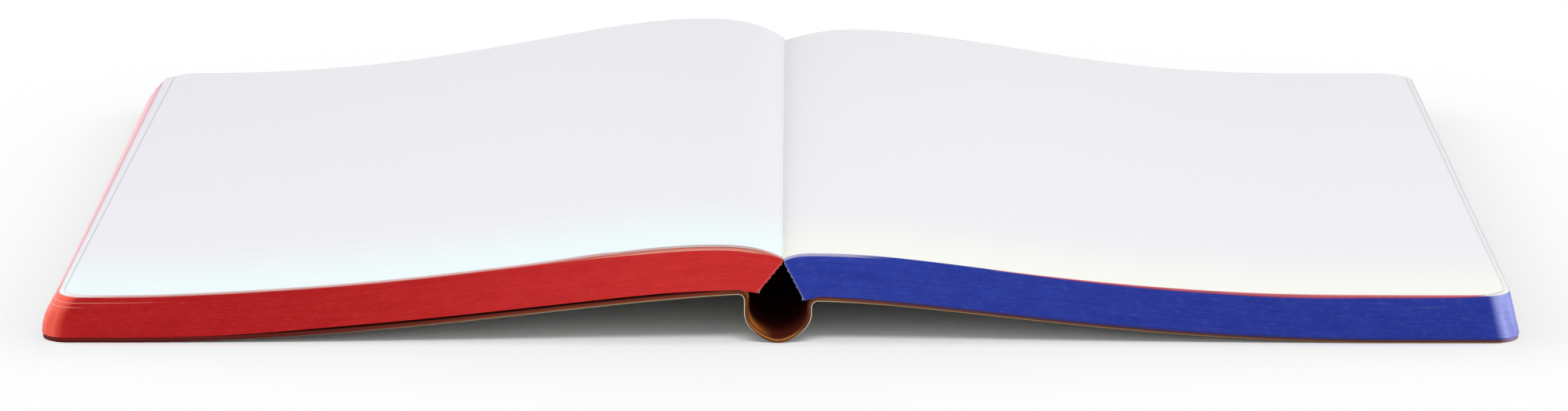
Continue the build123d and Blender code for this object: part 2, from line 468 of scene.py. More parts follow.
# footLight and its depth give the painted light near the foot edge; rim is the colour of the painted shade line along
# the leaf's edges
frontPaper = makePaper("uncoatedPaperCool", paper | {
    "shade": "#E6E5EB", "light": "#EBEAEF", "footLight": "#E8F4F5", "footLightDepth": 48.0, "rim": "#BCC0C8",
})
backPaper = makePaper("uncoatedPaperWarm", paper | {
    "shade": "#E7E6EA", "light": "#EDECEF", "footLight": "#F1F2EC", "footLightDepth": 42.0, "rim": "#B4B4BC",
})
sprayedDye = {
    # mm along and across the leaves, detail and roughness; streaks are drawn two leaves wide so that they show
    "streak": (26.0, 0.34, 3, 0.65), "patch": (7.0, 3.5, 4, 0.6), "band": (2.2, 2.2 / 0.15, 2, 0.5),
    "speck": (2.0, 0.6, 2, 0.5),
    "streakShare": 0.5, "blotRange": (0.12, 0.42), "highlightBandRange": (0.58, 0.92), "scuffRange": (0.52, 0.85),
    "scuff": 0.06, "bump": 0.15, "relief": 0.05, "roughness": 0.5, "ior": 1.5, "shine": 0.12, "cornerShine": 0.5,
}
redDyeAndLight = sprayedDye | {
    # the orange corner colours are a painted highlight of the side lamp
    "main": ("#B2161A", "#C01E22"), "gutter": ("#CC2A2A", "#DA3434"), "gutterRun": (140.0, 2.0),
    "first": ("#CC2426", "#CC2426"), "corner": ("#DE3A24", "#EE5A3E"), "cornerRun": (0.0, 0.4),
    # fore is the side's colour, pale pink as a painted reflection of the white surround, darker foreRim towards its
    # lowest and top leaves
    "fore": ("#ECB6BA", "#F4C6CA"), "foreRim": "#C898AC", "lowRim": 3.5, "topRim": 2.8,
    "foreRun": (170.0, 192.0),  # mm round the corner from the gutter, from where the side is painted paler as a reflection of the white surround
    # bare is the paler colour of worn spots and of painted highlights
    "endFrom": 0.5, "cornerEnd": 0.2, "bareAndHighlight": "#F2A48C",
}
blueDyeAndLight = sprayedDye | {
    "main": ("#243498", "#2D40A5"), "gutter": ("#27399F", "#3246AE"), "gutterRun": (150.0, 8.0),
    # the lavender corner colours are a painted highlight of the side lamp
    "first": ("#E27A7E", "#AC4860"), "corner": ("#7C84D4", "#AAB2F2"), "cornerRun": (0.0, 0.32),
    # the side's lighter blues are a painted reflection, darker foreRim towards its lowest and top leaves
    "fore": ("#5A62BC", "#767ED0"), "foreRim": "#5058B2", "lowRim": 2.0, "topRim": 2.0,
    "foreRun": (172.0, 225.0),
    "endFrom": 0.3, "cornerEnd": 0.85, "bareAndHighlight": "#CFCDE4",
}
# faces inside the gap between the first red leaves: dye-soaked paper, coloured brown so that the gap reads as shade,
# partly painted shade
soaked = ("#A8584A", "#C06C5C")
redEdge = makeDyedEdge("sprayedRedLeafEdge", redDyeAndLight)
blueEdge = makeDyedEdge("sprayedBlueLeafEdge", blueDyeAndLight)
# top red leaf: the grey on its upper side at the crown is painted shade
redLeafEdge = makeDyedEdge("faintRedLeafEdge", redDyeAndLight | {
    "bareAndHighlight": "#F4E8E8", "scuff": 0.0, "first": ("#B4AEB0", "#EFC8C2"),
})
firstLeafEdge = makeDyedEdge("firstRedLeafEdge", blueDyeAndLight | {"first": ("#F6C4C2", "#E2807E")})
secondLeafEdge = makeDyedEdge("orangeRedLeafEdge", redDyeAndLight | {"bareAndHighlight": "#F0B098", "scuff": 0.0})
soakedAndShadedPaper = makeDyedEdge("dyeSoakedAndShadedPaper", redDyeAndLight | {"main": soaked, "gutter": soaked})
leather = {
    "pebbleMix": 0.9, "cloudDetail": 4, "cloudRough": 0.6, "pitRange": (0.35, 0.75), "pitShare": 0.5,
    "wearAndLightFade": 6.0, "bump": 0.5, "ior": 1.48,
}
coverSkin = makeCoverSkin("bondedLeatherGreige", leather | {
    "pebble": 0.9, "cloud": 22.0, "relief": 0.12, "roughness": 0.55, "shine": 0.4,
    "dark": "#CAC9C5", "light": "#DAD9D5", "pit": "#B2B1AD",
    "wornAndLit": "#E0DCD4", "wearAndLightShare": 0.3, "wearAndLightDepth": 4.0, "wearAndLightMid": 0.0, "wearAndLightReach": 168.0,
})
# back of the leather: dark brown as painted shade inside the loop and under the leaves, orange near the lower-left of
# the loop's mouth as painted light
coverLining = makeCoverSkin("bondedLeatherBack", leather | {
    "pebble": 0.5, "cloud": 9.0, "relief": 0.05, "roughness": 0.75, "shine": 0.15,
    "dark": "#48160A", "light": "#5E200E", "pit": "#340E06",
    "wornAndLit": "#E88E3A", "wearAndLightShare": 1.0, "wearAndLightDepth": 9.0, "wearAndLightMid": -9.0, "wearAndLightReach": 1.0,
})
coverCut = makeCoverCut("bondedLeatherCut", {
    "reach": 170.0, "fibre": 0.5, "fibreDetail": 4, "wander": 0.1, "fleckRange": (0.5, 0.8), "fleckShare": 0.3,
    "bump": 0.5, "relief": 0.06, "roughness": 0.7, "ior": 1.45, "shine": 0.2,
    # top of each layer as a share of the thickness, and how softly it ends
    "tops": {"coat": (0.24, 0.06), "glue": (0.48, 0.08), "core": (0.78, 0.1)},
    # mm from the middle and the colour there, which holds the painted light and shade
    "coat": (
        (-168, "#580C0A"), (-145, "#580E0C"), (-122, "#665248"), (-95, "#8C7A64"), (-14, "#CDB892"),
        # brown from -4.5 to 2.2 mm, where the loop lies on the table, is painted contact shadow
        (-9, "#E8D6B6"), (-7, "#E2CCA6"), (-4.5, "#8A4A24"), (2.2, "#8A4A24"), (4.8, "#E2CCA6"),
        (7.4, "#E8D6B6"), (22, "#BC9A6E"), (120, "#9C6E46"), (163.4, "#94683E"), (165.6, "#B09488"),
    ),
    "glue": (
        (-168, "#540C0A"), (-110, "#521410"), (-70, "#7A4026"), (-14, "#7A4226"), (-9, "#36140A"),
        (6, "#36140A"), (14, "#6E3C22"), (163.4, "#6A4026"), (165.6, "#8C7088"),
    ),
    "core": (
        (-168, "#60100E"), (-120, "#5A120F"), (-60, "#74301A"), (-12, "#7A3218"), (-7.3, "#5C2812"),
        (-6.3, "#C07832"), (2.6, "#C07832"), (5.2, "#5C2812"), (10, "#7A4426"), (30, "#4A2C3C"),
        (60, "#3A2A44"), (163.4, "#402C34"), (165.6, "#8A78A8"),
    ),
    "lining": (
        (-168, "#68120F"), (-120, "#561210"), (-13, "#561A10"), (-9, "#4A1A0C"), (6, "#4A1A0C"),
        (12, "#4A2018"), (30, "#3A2A50"), (60, "#302E74"), (163.4, "#2C307E"), (165.6, "#8A88D0"),
    ),
    "fleck": (
        (-168, "#5A1412"), (-13, "#6A2418"), (-7.3, "#6A2E18"), (-6.3, "#C08048"), (2.6, "#C08048"),
        (5.2, "#6A2E18"), (22, "#6A4440"), (163.4, "#54402C"), (165.6, "#A090B0"),
    ),
})
mull = {
    "thread": 0.5, "waver": 0.6, "turn": 0.5,  # mm between threads, and from the left half's tone to the right's
    "bump": 0.6, "relief": 0.1, "roughness": 0.6, "ior": 1.48, "shine": 0.5,
}
liningThread = makeLining("mullThread", mull | {"left": "#F2DCD4", "right": "#E6E2EE", "glue": "#D4C6BC"})
liningGlue = makeLining("gluedMull", mull | {"left": "#7A5C50", "right": "#6C6272", "glue": "#4C3A32"})
print("materials made")


# Blocks of leaves
leafSettings = {
    "groove": 0.03,  # mm between two leaf edges
    "uneven": 0.04,  # mm that a leaf may stand back
    "waver": 0.05, "wave": (25, 120),  # mm, depth and length of a leaf's waves
    "layers": (0, 0.25, 0.75),  # heights in one leaf, the first is its groove
    "sectionLeaves": 8, "sectionBulge": 0.2,  # leaves of one folded section, round at the notch
    "nick": 0.13,  # mm, roughness of the notch's face
    "footNick": 1.6, "lipNick": 0.3, "lipMargin": 0.03,  # rougher at the cut foot and smoother at the lip
    "notchFade": 20.0, "notchHighlightRange": (0.3, 1), "frayRun": 3.0,
    "foreFrom": 0.5,  # share of the reach from which the fore-edge's shape counts
    "swellRun": 9.0,  # mm along the fore-edge
    "curlRun": 6.0,
    # headRim is the share of the painted shade line along the head edge
    "looseThick": 0.15, "headRim": 0.2, "leastBand": 0.1,
    "fallSteps": np.concatenate([[1, 0.975], np.linspace(0.93, 0, 14)]),  # closer at the gutter
    "climbSteps": np.linspace(1, 0, 73)[1:],
    "flatSteps": 4, "cornerSteps": 7,
    "footRows": (0.0, 0.2, 0.45, 3.0, 7.0, 13.0),  # mm from the foot edge, closer near it for the rim
    "headRows": (13.0, 0.6, 0.3, 0.0),
    "midRows": 14,
}
firstMid, lastMid = leafSettings["footRows"][-1], book["depth"] - leafSettings["headRows"][0]
rowSteps = np.concatenate([
    leafSettings["footRows"],
    np.linspace(firstMid, lastMid, leafSettings["midRows"])[1:],
    book["depth"] - np.array(leafSettings["headRows"][1:]),
]) / book["depth"]
cornerTurn = np.linspace(0, math.pi / 2, leafSettings["cornerSteps"] + 1)[1:]


def topStations(half, end, setback=0.0, radius=leafRadius):  # reach and height of the top leaf, gutter to fore-edge
    foot = half["edge"] - half["leafFlat"]
    edge = half["edge"] - book["trim"] - end["slant"] - setback
    fall, climb = leafSettings["fallSteps"], leafSettings["climbSteps"]
    flat = np.linspace(foot, edge - radius, leafSettings["flatSteps"] + 1)[1:]
    reach = np.concatenate([
        end["crown"] + (book["slit"] - end["crown"]) * fall,
        foot + (end["crown"] - foot) * climb,
        flat,
        edge - radius + radius * np.sin(cornerTurn),
    ])
    height = np.concatenate([
        pageTop + curveHeight(end["fall"], fall),
        pageTop + curveHeight(end["climb"], climb),
        np.full(len(flat) + len(cornerTurn), pageTop),
    ])
    height = height + end["rise"] * smoothStep(*half["riseRun"], reach)
    angle = np.concatenate([np.zeros(len(reach) - len(cornerTurn)), cornerTurn])
    return reach, height, angle


def bottomStations(half, end, reachTop):
    edge = half["edge"] - book["trim"]
    straight = reachTop[:-len(cornerTurn)]
    share = (straight - straight[0]) / (straight[-1] - straight[0])
    nape = napeReach(half)
    reach = np.concatenate([
        nape + (edge - leafRadius - nape) * share, edge - leafRadius + leafRadius * np.sin(cornerTurn),
    ])
    return reach, underside(half, end, reach)


def placeRows(half, reachEnds, heightEnds, angle, radius=leafRadius):  # two end outlines to points between them
    low = footY + radius * (1 - np.cos(angle))
    y = low[:, None] + (-2 * low)[:, None] * rowSteps[None]  # (u, v)
    share = ((y - footY) / book["depth"])[:, :, None]
    reach = reachEnds[0][:, None] * (1 - share) + reachEnds[1][:, None] * share
    height = heightEnds[0][:, None] * (1 - share) + heightEnds[1][:, None] * share
    return np.stack([half["side"] * reach, np.broadcast_to(y[:, :, None], reach.shape), height], -1)


def rimField(half, points, look):  # 1 on the painted shade line along the edges of the leaf's face
    rim = np.zeros(points.shape[:3])
    rim[-2:] = look["rim"]
    rim[:, -2:] = np.maximum(rim[:, -2:], leafSettings["headRim"])
    reach = np.abs(points[..., 0])
    corner = smoothStep(half["edge"] - look["rimRun"], half["edge"] - book["corner"], reach)
    rim[:, :2] = np.maximum(rim[:, :2], look["rim"] * corner[:, :2])
    return rim


def makeLeafBlock(name, half, materials, look):
    make = leafSettings
    count = look["leaves"]
    rows = np.concatenate([(np.arange(count)[:, None] + np.array(make["layers"])).ravel(), [count]]) / count
    perLeaf = len(make["layers"])
    leafOf = np.minimum(np.arange(len(rows)) // perLeaf, count - 1)
    reachEnds, heightEnds = [], []
    for end in half["ends"]:
        reach, height, angle = topStations(half, end)
        height = height - look["lowered"](reach)
        reachLow, heightLow = bottomStations(half, end, reach)
        heightLow = heightLow + look["lift"](reachLow)
        outer = smoothStep(make["foreFrom"], 1, reach / reach[-1])[:, None]
        across = rows * (1 - outer) + rows ** half["fullness"] * outer
        reachRows = reachLow[:, None] * (1 - across) + reach[:, None] * across
        heightRows = heightLow[:, None] * (1 - rows) + height[:, None] * rows
        bend = (height[0] - book["lip"] - heightLow[0]) / (height[0] - heightLow[0])
        face = book["slit"] + np.clip(1 - rows / bend, 0, 1) * (reachLow[0] - book["slit"])
        fade = np.clip(1 - reach / make["notchFade"], 0, 1)
        reachRows = reachRows + fade[:, None] * (face - reachRows[0])
        reachEnds.append(reachRows)
        heightEnds.append(heightRows)
    points = placeRows(half, reachEnds, heightEnds, angle)
    swell = rows ** half["fullness"] - rows ** (half["fullness"] + half["swell"])
    atFoot = np.exp(-(points[:, :, 0, 1] - footY) / make["swellRun"]) * outer
    points[..., 0] += half["side"] * half["ends"][0]["slant"] * swell * atFoot[:, :, None]
    outX, outY = np.sin(angle), np.cos(angle)
    nu, nv, nt = points.shape[:3]

    # path round the three cut edges, in mm
    along = np.zeros((nu, nv))
    along[:] = (np.abs(points[:, 0, -1, 0]))[:, None]
    along[-1] = half["edge"] + points[-1, :, -1, 1] - footY
    along[:, -1] = np.abs(points[:, -1, -1, 0])

    # each leaf stands back by its own small amount, and a groove lies between two leaves
    back = chance.uniform(0, make["uneven"], count)
    swing = chance.uniform(0, make["waver"], count)
    wave = chance.uniform(*make["wave"], count)
    phase = chance.uniform(0, 2 * math.pi, count)
    ripple = 0.5 + 0.5 * np.sin(2 * math.pi * along[:, :, None] / wave[leafOf] + phase[leafOf])
    groove = np.where(np.arange(nt) % perLeaf == 0, make["groove"], 0.0)
    groove[-1] = 0
    outset = -(back[leafOf] + swing[leafOf] * ripple + groove)
    for leaf, proud, wearAndLightShare, wearAndLightRun in look["proud"]:
        outset += proud * np.interp(along, wearAndLightRun, (0, 1, 1, 0))[:, :, None] * (leafOf == leaf)
    points[:, 0, :, 0] += half["side"] * outX[:, None] * outset[:, 0]
    points[:, 0, :, 1] -= outY[:, None] * outset[:, 0]
    points[:, -1, :, 0] += half["side"] * outX[:, None] * outset[:, -1]
    points[:, -1, :, 1] += outY[:, None] * outset[:, -1]
    points[-1, 1:-1, :, 0] += half["side"] * outset[-1, 1:-1]

    # folded sections are round where they meet the notch, and their folds are rough
    section = make["sectionLeaves"]
    fold = ((rows * count) % section) / section
    bulge = make["sectionBulge"] * (0.5 - (2 * fold - 1) ** 2)
    nicks = chance.normal(0, make["nick"], (nv, nt))
    nicks[0] *= make["footNick"]
    rough = np.where(rows < bend - make["lipMargin"], bulge + nicks, make["lipNick"] * nicks)
    rough[:, -1] = 0
    points[0, :, :, 0] -= half["side"] * rough

    depth = np.broadcast_to(((1 - rows) * book["stack"])[None, None], (nu, nv, nt))
    reach = np.abs(points[..., 0])
    depthTop = depth + look["lowered"](reach)
    # paler edge colour: painted highlights on the proud leaves and along the notch's edge, wear where the nape frays
    wornAndLit = look["wornAndLit"](depthTop, reach) + 0.0 * depth
    for leaf, proud, wearAndLightShare, wearAndLightRun in look["proud"]:
        near = np.interp(reach, wearAndLightRun, (0, 1, 1, 0)) * (leafOf == leaf)
        wornAndLit = np.maximum(wornAndLit, wearAndLightShare * near)
    wornAndLit[0] = np.maximum(wornAndLit[0], look["notchHighlight"] * chance.uniform(*make["notchHighlightRange"], (nv, nt)))
    frayed = smoothStep(napeReach(half) + make["frayRun"], napeReach(half), reach[:, :, 0])
    wornAndLit[:, :, 0] = np.maximum(wornAndLit[:, :, 0], frayed * chance.uniform(0, look["fray"], (nu, nv)))
    fields = {
        "along": along[:, :, None],
        "level": (rows * book["stack"])[None, None],
        "wornAndLit": wornAndLit,
        "first": look["first"](depthTop, reach),
        "tone": np.clip(depthTop / np.maximum(firstDepth(reach), make["leastBand"]), 0, 1),
        "turned": (angle / (math.pi / 2))[:, None, None],
        "rim": rimField(half, points, look),
    }
    return latticeShell(name, points, (1, 1, 1, 1, 0, 0), materials, (0, 0, 0, 0, 1, 1), fields)


def makeLooseLeaf(name, half, materials, look):
    reachEnds, heightEnds = [], []
    for end, setback in zip(half["ends"], look["setback"]):
        reach, height, angle = topStations(half, end, setback, look["corner"])
        height = height - look["depth"](reach)
        reachEnds.append(np.stack([reach, reach], -1))
        heightEnds.append(np.stack([height - look["thick"](reach), height], -1))
    points = placeRows(half, reachEnds, heightEnds, angle, look["corner"])
    points[:, 0, :, 1] += look["foot"]
    points[:, -1, :, 1] -= look["foot"]
    reach = np.abs(points[..., 0])
    curl = np.exp(-(points[..., 1] - footY) / leafSettings["curlRun"])
    points[..., 2] += look["curl"](reach) * curl
    level = np.array([book["stack"] - leafSettings["looseThick"], book["stack"]])
    fields = {
        "along": reach,
        "level": level[None, None],
        "wornAndLit": look["wornAndLit"](reach),
        "first": look["first"](reach),
        "tone": np.array([1.0, 0.0])[None, None],  # from the lower to the upper side
        "turned": (angle / (math.pi / 2))[:, None, None],
        "rim": rimField(half, points, look),
    }
    flat = angle[:-1] == 0
    cut = np.where(flat, 1, look["foreSlot"])
    face = np.where(np.abs(points[1:, 0, -1, 0]) < look["soakedShadedTo"], 2, 0)
    under = 2 if look["soakedShadedUnder"] else 0
    sides = (1, look["foreSlot"], cut[:, None], cut[None], under, face[:, None])
    return latticeShell(name, points, sides, materials, (0, 0, 0, 0, 1, 1), fields)


# Reaches below are in mm from the gutter
def fan(reach):  # the first red leaves lift off in two groups at the crown
    return smoothStep(56, 26, reach) * smoothStep(0.3, 8, reach)


def lip(reach):  # the first red leaf lifts a little beside the crown
    return smoothStep(62, 42, reach) * smoothStep(38, 41, reach)


def firstLeaf(reach):  # the first leaf of the back half shows thicker towards its corner
    return leafSettings["looseThick"] * smoothStep(112, 128, reach)


def nothing(reach):
    return 0.0 * reach


firstBand = {  # how deep the red first leaves show
    "reach": (42, 45, 50, 64, 80, 100, 122, 128, 134, 146, 152, 157, 161, 164),
    "depth": (-0.1, 0, 0.18, 0.35, 0.53, 0.7, 0.92, 0.84, 0.78, 0.72, 0.68, 0.52, 0.2, -0.1),
}


def firstDepth(reach):
    return np.interp(reach, firstBand["reach"], firstBand["depth"])


frontLook = {
    "leaves": 60,
    "lowered": lambda reach: 0.68 + 0.64 * fan(reach),
    "lift": lambda reach: 0.5 * smoothStep(135, 95, reach) * smoothStep(8, 30, reach) - 0.12,
    # leaf, mm proud, share of paler colour as painted highlight, and the reaches between which it shows
    "proud": ((52, 0.12, 0.7, (138, 156, 190, 200)), (45, 0.12, 0.8, (158, 162, 190, 200))),
    "wornAndLit": lambda depth, reach: 0.0 * depth,
    "notchHighlight": 0.55, "fray": 0.4,
    "first": lambda depth, reach: 0.0 * depth,
    "rim": 0.1, "rimRun": 14.0,
}
backLook = {
    "leaves": 62,
    "lowered": lambda reach: 0.16 + firstLeaf(reach),
    "lift": lambda reach: 0.0 * reach - 0.17,
    "proud": ((45, 0.03, 0.1, (138, 144, 149, 153)),),
    "wornAndLit": lambda depth, reach: 0.75 * smoothStep(0.75, 0.55, depth) * smoothStep(24, 13, reach),
    "notchHighlight": 0.7, "fray": 1.0,
    "first": lambda depth, reach: smoothStep(0.14, -0.1, depth - firstDepth(reach)),
    "rim": 0.45, "rimRun": 12.0,
}

frontBlock = makeLeafBlock("leavesRed", frontHalf, [frontPaper, redEdge], frontLook)
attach(frontBlock, "front_half")
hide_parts("front_pages")
backBlock = makeLeafBlock("leavesBlue", backHalf, [backPaper, blueEdge], backLook)
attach(backBlock, "back_half")
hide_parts("back_pages")

looseLeaves = {
    "leafRedTop": {
        "half": frontHalf, "body": "front_half", "slot": "front_leaves",
        "materials": [frontPaper, redLeafEdge, soakedAndShadedPaper],
        "setback": (1.2, 2.5), "corner": 6.0, "foot": 0.03, "foreSlot": 1, "soakedShadedTo": 0.0, "soakedShadedUnder": True,
        "thick": lambda reach: 0.5 + 0.14 * lip(reach),
        "depth": lambda reach: -0.06 * smoothStep(155, 163, reach),
        "curl": lambda reach: 0.18 * lip(reach),
        "wornAndLit": lambda reach: np.maximum(
            (1 - fan(reach)) * np.array([0.42, 0.86]), smoothStep(146, 159, reach),
        ),
        "first": fan,
        "rim": 0.75, "rimRun": 14.0,
    },
    "leafRedSecond": {
        "half": frontHalf, "body": "front_half", "slot": "front_leaves",
        "materials": [frontPaper, secondLeafEdge, soakedAndShadedPaper],
        "setback": (0.1, 0.1), "corner": 6.0, "foot": 0.0, "foreSlot": 1, "soakedShadedTo": 70.0, "soakedShadedUnder": True,
        "thick": lambda reach: 0.2 + 0.53 * fan(reach),
        "depth": lambda reach: 0.5 + 0.11 * fan(reach),
        "curl": nothing,
        "wornAndLit": lambda reach: 0.2 + fan(reach) * np.array([0.6, 0.15]),
        "first": nothing,
        "rim": 0.1, "rimRun": 14.0,
    },
    "leafBlueTop": {
        "half": backHalf, "body": "back_half", "slot": "back_leaves",
        "materials": [backPaper, firstLeafEdge],
        "setback": (1.08, 1.4), "corner": 6.8, "foot": 0.02, "foreSlot": 0, "soakedShadedTo": 0.0, "soakedShadedUnder": False,
        "thick": lambda reach: leafSettings["looseThick"] + firstLeaf(reach),
        "depth": lambda reach: -0.06 * smoothStep(156, 163, reach),
        "curl": nothing,
        "wornAndLit": lambda reach: 0.9 * (smoothStep(26, 14, reach) + smoothStep(157, 163, reach)),
        "first": lambda reach: smoothStep(44, 52, reach),
        "rim": 0.45, "rimRun": 12.0,
    },
}
for leafName, look in looseLeaves.items():
    leaf = makeLooseLeaf(leafName, look["half"], look["materials"], look)
    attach(leaf, look["body"])
print("leaves made")

# Fold of the middle sheet, which closes the slit at the gutter
foldSettings = {  # mm
    "half": 0.17, "below": 0.06, "dip": 0.32, "round": 1.5, "thick": 0.1, "endGap": 0.1, "steps": 8, "depthSteps": 16,
    "bend": (0.15, 20),  # half of a width, and a height
}
foldX = np.linspace(-1, 1, foldSettings["steps"] + 1)
foldEnds = []
for frontEnd, backEnd in zip(frontHalf["ends"], backHalf["ends"]):
    leftTop = pageTop + frontEnd["fall"][-1] - foldSettings["below"]
    rightTop = pageTop + backEnd["fall"][-1] - foldSettings["below"]
    base = leftTop + (rightTop - leftTop) * (foldX + 1) / 2
    foldEnds.append(base - foldSettings["dip"] * (1 - np.abs(foldX) ** foldSettings["round"]))
foldShare = np.linspace(0, 1, foldSettings["depthSteps"] + 1)
foldZ = foldEnds[0][:, None] * (1 - foldShare) + foldEnds[1][:, None] * foldShare
foldGap = foldSettings["endGap"]
foldPoints = np.zeros((len(foldX), len(foldShare), 2, 3))
foldPoints[..., 0] = (foldX * foldSettings["half"])[:, None, None]
foldPoints[..., 1] = (footY + foldGap + (book["depth"] - 2 * foldGap) * foldShare)[None, :, None]
foldPoints[..., 0, 2] = foldZ - foldSettings["thick"]
foldPoints[..., 1, 2] = foldZ
middleFold = latticeShell("foldOfMiddleSheet", foldPoints, (0,) * 6, [backPaper], (1,) * 6, {})
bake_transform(middleFold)

# Cover, one sheet from fore-edge to fore-edge with its back hanging as a loop
coverSettings = {
    "loopLeft": -8.9, "loopRight": 6.5, "loopMid": -1.2, "bellyTop": 7.0, "bellyFull": 3.0, "bellyLow": 2.6,
    "bendRun": 1.6, "bendDrop": 1.7,
    "plies": (0, 0.12, 0.3, 0.45, 0.85, 1.0),
    "soft": (0.14, 0.03, 0, 0, 0.03, 0.12),  # mm that the worn edge rounds off
    "cornerSteps": 8, "flatSteps": 4, "climbSteps": 60, "bendSteps": 8, "legSteps": 3, "bellySteps": 18,
    "depthSteps": 24,
}


def pulled(points, s):  # plain curve through pulling points in the section
    n = len(points) - 1
    return sum(
        math.comb(n, i) * (s**i * (1 - s)**(n - i))[:, None] * np.array(point, float)[None]
        for i, point in enumerate(points)
    )


def coverHalf(half, end):  # stations of one cover from the fore-edge to the crease
    look = coverSettings
    width, radius = half["edge"] - book["coverTrim"], book["corner"]
    flatEnd = half["edge"] - half["coverFlat"]
    turn = np.linspace(math.pi / 2, 0, look["cornerSteps"] + 1)
    flat = np.linspace(width - radius, flatEnd, look["flatSteps"] + 1)[1:]
    climb = np.linspace(flatEnd, half["crease"], look["climbSteps"] + 1)[1:]
    reach = np.concatenate([width - radius + radius * np.sin(turn), flat, climb])
    inset = np.concatenate([radius * (1 - np.cos(turn)), np.zeros(len(reach) - len(turn))])
    return np.stack([half["side"] * reach, coverRise(half, end, reach)], -1), inset


def loopLine(index):
    look = coverSettings
    bend, leg, belly = [
        np.linspace(0, 1, look[steps] + 1)[1:] for steps in ("bendSteps", "legSteps", "bellySteps")
    ]
    crease, corner = {}, {}
    for half in (frontHalf, backHalf):
        pulls = half["ends"][index]["cover"]
        gap = (half["edge"] - half["coverFlat"] - half["crease"]) / (len(pulls) - 1)
        slope = (pulls[-1] - pulls[-2]) / gap
        crease[half["side"]] = (half["side"] * half["crease"], pulls[-1])
        corner[half["side"]] = pulls[-1] + slope * look["bendRun"]
    left, right, mid = look["loopLeft"], look["loopRight"], look["loopMid"]
    top, full, low = look["bellyTop"], look["bellyFull"], look["bellyLow"]
    leftLeg = (left, corner[-1] - look["bendDrop"])
    rightLeg = (right, corner[1] - look["bendDrop"])
    return np.concatenate([
        pulled((crease[-1], (left, corner[-1]), leftLeg), bend),
        pulled((leftLeg, (left, top)), leg),
        pulled(((left, top), (left, full), (mid - low, 0), (mid, 0)), belly),
        pulled(((mid, 0), (mid + low, 0), (right, full), (right, top)), belly),
        pulled(((right, top), rightLeg), leg),
        pulled((rightLeg, (right, corner[1]), crease[1]), bend),
    ])


def makeCover(name, materials):
    plies = np.array(coverSettings["plies"])
    soft = np.array(coverSettings["soft"])
    ends = []
    for index in (0, 1):
        left, insetLeft = coverHalf(frontHalf, frontHalf["ends"][index])
        right, insetRight = coverHalf(backHalf, backHalf["ends"][index])
        line = np.concatenate([left, loopLine(index), right[::-1][1:]])
        run = np.gradient(line, axis=0)
        run /= np.linalg.norm(run, axis=1)[:, None]
        inward = np.stack([-run[:, 1], run[:, 0]], -1)
        ends.append(line[:, None] + inward[:, None] * (plies * book["coverThick"])[None, :, None])
    straight = np.zeros(len(line) - len(insetLeft) - len(insetRight))
    low = footY + np.concatenate([insetLeft, straight, insetRight[::-1]])
    y = low[:, None] + (-2 * low)[:, None] * np.linspace(0, 1, coverSettings["depthSteps"] + 1)[None]
    share = ((y - footY) / book["depth"])[:, :, None, None]
    section = ends[0][:, None] * (1 - share) + ends[1][:, None] * share
    points = np.concatenate([section[..., :1], np.zeros_like(section[..., :1]), section[..., 1:]], -1)
    points[..., 1] = y[:, :, None]
    points[:, 0, :, 1] += soft  # worn edge
    points[:, -1, :, 1] -= soft
    points[0, :, :, 0] += soft
    points[-1, :, :, 0] -= soft
    return latticeShell(name, points, (2, 2, 2, 2, 0, 1), materials, (1,) * 6, {"ply": plies[None, None]})


cover = makeCover("coverSheet", [coverSkin, coverLining, coverCut])
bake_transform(cover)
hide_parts("front_cover", "back_cover", "spine")
print("cover made")

# Lining strip over the backs of the sections, ragged where it was torn off at the foot and the head
liningSettings = {  # mm
    "thick": 0.12, "uneven": 0.5, "ragged": 0.3, "back": 1.4, "nub": 0.5, "nubRun": 1.2, "off": 0.1, "endGap": 0.1,
    "over": 0.15, "peakGap": 0.25,  # over the lowest leaf, and below the lip
    "toward": (0.8, -0.6),  # way off the leaves, across and up
    "steps": 34, "depthSteps": 40,
    "bend": (0.6, 19),  # half of a width, and a height
}


def makeLiningStrip(name, materials):
    look = liningSettings
    ends = []
    for index in (0, 1):
        corners = []
        for half in (frontHalf, backHalf):
            nape = napeReach(half)
            low = underside(half, half["ends"][index], np.array(nape))
            corners.append((half["side"] * (nape - look["off"]), low + look["over"]))
        folds = [pageTop + half["ends"][index]["fall"][-1] for half in (frontHalf, backHalf)]
        peak = (0.0, min(folds) - book["lip"] - look["peakGap"])
        step = np.linspace(0, 1, look["steps"] // 2 + 1)
        ends.append(np.concatenate([
            pulled((corners[0], peak), step), pulled((peak, corners[1]), step)[1:],
        ]))
    share = np.linspace(0, 1, look["depthSteps"] + 1)
    upper = ends[0][:, None] * (1 - share)[None, :, None] + ends[1][:, None] * share[None, :, None]
    nu = len(ends[0])
    inward, up = look["toward"]
    towardX = np.where(np.arange(nu) < nu // 2, 1.0, -1.0) * inward
    thick = look["thick"] * (1 + look["uneven"] * chance.uniform(-1, 1, (nu, len(share))))
    tip = np.exp(-np.minimum(np.arange(nu), nu - 1 - np.arange(nu)) / look["nubRun"])
    thick = thick + look["nub"] * tip[:, None]
    points = np.zeros((nu, len(share), 2, 3))
    points[..., 1, 0] = upper[..., 0]
    points[..., 1, 2] = upper[..., 1]
    points[..., 0, 0] = upper[..., 0] + towardX[:, None] * thick
    points[..., 0, 2] = upper[..., 1] + up * thick
    points[..., 1] = (footY + look["endGap"] + (book["depth"] - 2 * look["endGap"]) * share)[None, :, None]
    ragged = look["ragged"] * chance.uniform(0, 1, (2, nu, 2)) + look["back"] * (1 - tip)[None, :, None]
    points[:, 0, :, 1] += ragged[0]
    points[:, -1, :, 1] -= ragged[1]
    return latticeShell(name, points, (0, 0, 0, 0, 1, 1), materials, (1,) * 6, {})


lining = makeLiningStrip("spineMull", [liningThread, liningGlue])
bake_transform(lining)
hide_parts("spine_lining")
print("lining made")


